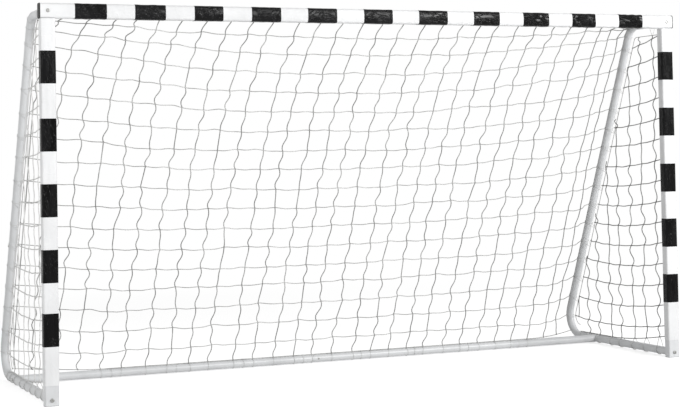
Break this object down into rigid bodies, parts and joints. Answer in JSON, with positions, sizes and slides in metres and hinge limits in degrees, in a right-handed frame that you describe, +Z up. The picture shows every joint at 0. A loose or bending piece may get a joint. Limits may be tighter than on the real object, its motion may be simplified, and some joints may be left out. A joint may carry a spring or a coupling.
{
  "type": "soccer goal",
  "caption": "Garden soccer goal: rectangular tube mouth in black and white sleeves, bent round tube sides, a rear ground bar and a white knotted net laced to them.",
  "frame": {"origin": "on the ground, under the middle of the goal's overall box", "axes": "+X along the crossbar to the right as seen from the front, +Y from the mouth to the back, +Z up"},
  "size_m": [3, 0.9496, 1.6],
  "materials": {
    "powder_coat": "light grey powder coat",
    "bare_steel": "bare steel",
    "white_vinyl": "white vinyl sleeve",
    "black_vinyl": "black vinyl band",
    "black_plastic": "black moulded plastic",
    "grey_plastic": "grey moulded plastic",
    "white_plastic": "white moulded plastic",
    "zinc_plate": "zinc-plated steel",
    "white_twine": "white knotted twine"
  },
  "bodies": {
    "root": {"crossbar_left": "powder_coat", "crossbar_right": "powder_coat", "crossbar_joiner": "bare_steel", "crossbar_cap_left": "black_plastic", "crossbar_cap_right": "black_plastic", "post_left_lower": "powder_coat", "post_left_upper": "powder_coat", "post_right_lower": "powder_coat", "post_right_upper": "powder_coat", "post_left_joiner": "bare_steel", "post_right_joiner": "bare_steel", "post_foot_plug_left": "grey_plastic", "post_foot_plug_right": "grey_plastic", "corner_insert_left": "bare_steel", "corner_insert_right": "bare_steel", "crossbar_sleeve": "white_vinyl", "post_left_sleeve": "white_vinyl", "post_right_sleeve": "white_vinyl", "crossbar_bands": "black_vinyl", "post_left_bands": "black_vinyl", "post_right_bands": "black_vinyl", "side_upper_left": "powder_coat", "side_upper_right": "powder_coat", "side_lower_left": "powder_coat", "side_lower_right": "powder_coat", "rear_bar_left": "powder_coat", "rear_bar_right": "powder_coat", "top_end_plug_left": "bare_steel", "top_end_plug_right": "bare_steel", "foot_end_plug_left": "bare_steel", "foot_end_plug_right": "bare_steel", "rear_end_plug_left": "bare_steel", "rear_end_plug_right": "bare_steel", "top_bolt_left": "zinc_plate", "top_bolt_right": "zinc_plate", "foot_bolt_left": "zinc_plate", "foot_bolt_right": "zinc_plate", "rear_bolt_left": "zinc_plate", "rear_bolt_right": "zinc_plate", "side_joint_screw_left": "zinc_plate", "side_joint_screw_right": "zinc_plate", "rear_bar_screw": "zinc_plate", "net_back": "white_twine", "net_side_left": "white_twine", "net_side_right": "white_twine", "lace_rear_bar": "white_twine", "lace_rail_left": "white_twine", "lace_rail_right": "white_twine", "lace_slant_left": "white_twine", "lace_slant_right": "white_twine", "net_hooks_crossbar": "white_plastic", "net_hooks_post_left": "white_plastic", "net_hooks_post_right": "white_plastic"}
  },
  "joints": []
}
